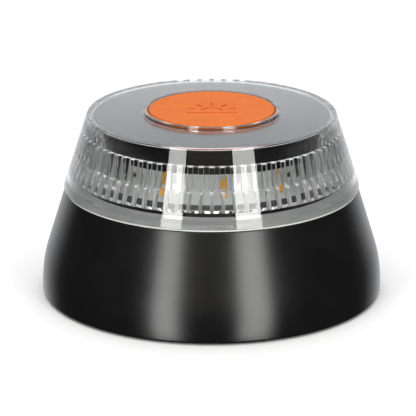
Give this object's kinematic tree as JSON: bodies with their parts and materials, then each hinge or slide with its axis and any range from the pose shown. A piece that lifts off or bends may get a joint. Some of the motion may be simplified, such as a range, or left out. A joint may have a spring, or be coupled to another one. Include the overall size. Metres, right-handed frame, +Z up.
{
  "type": "roadside warning beacon",
  "caption": "Low round battery beacon: black magnetic base, clear ribbed lens over amber LEDs, orange push button on top, hinged battery door underneath.",
  "frame": {"origin": "on the ground plane under the centre of the round base", "axes": "+Z up along the beacon's axis, -Y the side where the sign on the button reads upright"},
  "size_m": [0.1, 0.1, 0.0553],
  "materials": {
    "black_plastic": "satin",
    "clear_plastic": "gloss",
    "orange_plastic": "matte",
    "black_rubber": "matte",
    "grey_rubber": "matte",
    "board_white": "gloss",
    "board_green": "gloss",
    "led_white": "satin",
    "led_amber": "gloss",
    "chip_black": "matte",
    "steel": "brushed",
    "plated": "polished",
    "cell_jacket": "gloss",
    "wire_red": "satin",
    "wire_black": "satin"
  },
  "bodies": {
    "root": {"base_skirt": "black_plastic", "lens": "clear_plastic", "prism_ring": "clear_plastic", "lens_seal": "grey_rubber", "led_tower": "black_plastic", "tower_cap": "black_plastic", "led_strip": "board_white", "led_packages": "led_white", "led_phosphors": "led_amber", "tower_screws": "steel", "main_board": "board_green", "board_parts": "chip_black", "board_screws": "steel", "switch_body": "chip_black", "return_spring": "plated", "base_plate": "black_plastic", "plate_seal": "grey_rubber", "plate_screws": "steel", "foot_pad": "black_rubber", "magnets": "plated", "hinge_pin": "steel", "battery_box": "black_plastic", "box_screws": "steel", "battery_1": "cell_jacket", "battery_2": "cell_jacket", "battery_3": "cell_jacket", "contact_springs": "plated", "contact_plates": "plated", "wire_red": "wire_red", "wire_black": "wire_black"},
    "button": {"power_button": "orange_plastic", "button_seal": "grey_rubber"},
    "switch": {"switch_plunger": "board_white"},
    "door": {"battery_door": "black_plastic", "door_gasket": "grey_rubber"}
  },
  "joints": [
    {"name": "button_press", "type": "slide", "parent": "root", "child": "button", "axis": [0, 0, -1], "range_m": [0, 0.001], "stiffness_N_per_m": 800, "springref_m": -0.001, "deforming": ["return_spring"]},
    {"name": "switch_travel", "type": "slide", "parent": "root", "child": "switch", "axis": [0, 0, -1], "range_m": [0, 0.001]},
    {"name": "door_hinge", "type": "hinge", "parent": "root", "child": "door", "pos_m": [0, 0.0306, 0.0024], "axis": [1, 0, 0], "range_deg": [0, 100]}
  ],
  "couplings": [
    {"joint": "switch_travel", "follows": "button_press", "ratio": 1}
  ]
}
